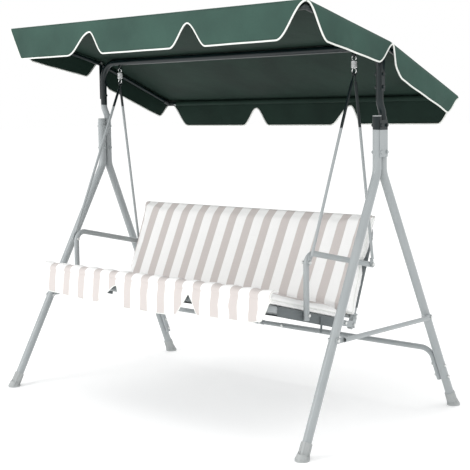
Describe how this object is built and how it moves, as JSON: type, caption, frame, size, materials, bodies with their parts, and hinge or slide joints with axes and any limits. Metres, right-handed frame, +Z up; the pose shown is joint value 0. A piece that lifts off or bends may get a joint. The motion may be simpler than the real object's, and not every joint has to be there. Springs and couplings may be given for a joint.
{
  "type": "canopy swing bench",
  "caption": "Garden swing bench: a sprung, cushioned seat hung from a steel A-frame under a tilting fabric canopy with scalloped valances.",
  "frame": {"origin": "on the ground at the centre of the four feet", "axes": "+X across the bench, to the right as seen from in front of it, +Y to its back, +Z up; a person sits facing -Y"},
  "size_m": [1.941, 1.16, 1.7829],
  "materials": {
    "frame_steel": "satin powder coat, pale silver grey",
    "crossbar_steel": "satin powder coat, dark slate",
    "canopy_steel": "satin powder coat, dark slate",
    "seat_steel": "satin powder coat, pale silver grey",
    "bracket_steel": "satin powder coat",
    "zinc_fasteners": "zinc plated",
    "spring_steel": "bright plated wire",
    "cap_plastic": "moulded, fine matt",
    "elbow_plastic": "moulded black",
    "canopy_fabric": "coated woven polyester, dark green, white bound hems",
    "sling_fabric": "coated woven polyester, dark grey",
    "cushion_fabric": "woven polyester, white with pale taupe stripes"
  },
  "bodies": {
    "frame": {"front_leg_left": "frame_steel", "front_leg_right": "frame_steel", "rear_leg_left": "frame_steel", "rear_leg_right": "frame_steel", "side_brace_left": "frame_steel", "side_brace_right": "frame_steel", "rear_bar_left": "frame_steel", "rear_bar_right": "frame_steel", "rear_bar_joiner": "frame_steel", "head_plate_left": "frame_steel", "head_plate_right": "frame_steel", "head_bolts": "frame_steel", "top_crossbar": "crossbar_steel", "hanger_eyes": "crossbar_steel", "canopy_bracket_left": "crossbar_steel", "canopy_bracket_right": "crossbar_steel", "lower_frame_bolts": "zinc_fasteners", "leg_plugs": "cap_plastic", "foot_cap_front_left": "cap_plastic", "foot_cap_front_right": "cap_plastic", "foot_cap_rear_left": "cap_plastic", "foot_cap_rear_right": "cap_plastic"},
    "canopy": {"canopy_side_tube_left": "canopy_steel", "canopy_side_tube_right": "canopy_steel", "canopy_front_tube": "canopy_steel", "canopy_rear_tube": "canopy_steel", "canopy_elbows": "elbow_plastic", "canopy_pivot_bolts": "zinc_fasteners", "canopy_roof": "canopy_fabric", "front_valance": "canopy_fabric", "rear_valance": "canopy_fabric", "left_valance": "canopy_fabric", "right_valance": "canopy_fabric"},
    "springs": {"spring_left": "spring_steel", "spring_right": "spring_steel"},
    "seat": {"arm_bolts": "zinc_fasteners", "back_bracket_bolts": "zinc_fasteners", "seat_tube_plugs": "cap_plastic", "front_hanger_left": "seat_steel", "front_hanger_right": "seat_steel", "rear_hanger_left": "seat_steel", "rear_hanger_right": "seat_steel", "arm_left": "seat_steel", "arm_right": "seat_steel", "seat_rail_left": "seat_steel", "seat_rail_right": "seat_steel", "seat_front_tube": "seat_steel", "seat_rear_tube": "seat_steel", "back_tube_left": "seat_steel", "back_tube_right": "seat_steel", "back_top_tube": "seat_steel", "back_bottom_tube": "seat_steel", "back_bracket_left": "bracket_steel", "back_bracket_right": "bracket_steel", "seat_sling": "sling_fabric", "back_sling": "sling_fabric", "seat_cushion": "cushion_fabric", "back_cushion": "cushion_fabric", "cushion_flap": "cushion_fabric"}
  },
  "joints": [
    {"name": "canopy_tilt", "type": "hinge", "parent": "frame", "child": "canopy", "pos_m": [0, 0.046, 1.625], "axis": [1, 0, 0], "range_deg": [-12, 40]},
    {"name": "seat_swing", "type": "hinge", "parent": "frame", "child": "springs", "pos_m": [0, 0.046, 1.5926], "axis": [1, 0, 0], "range_deg": [-18, 18]},
    {"name": "seat_bounce", "type": "slide", "parent": "springs", "child": "seat", "axis": [0, 0, 1], "range_m": [-0.035, 0.006], "stiffness_N_per_m": 30000, "springref_m": 0.011, "deforming": ["spring_left", "spring_right"]}
  ]
}
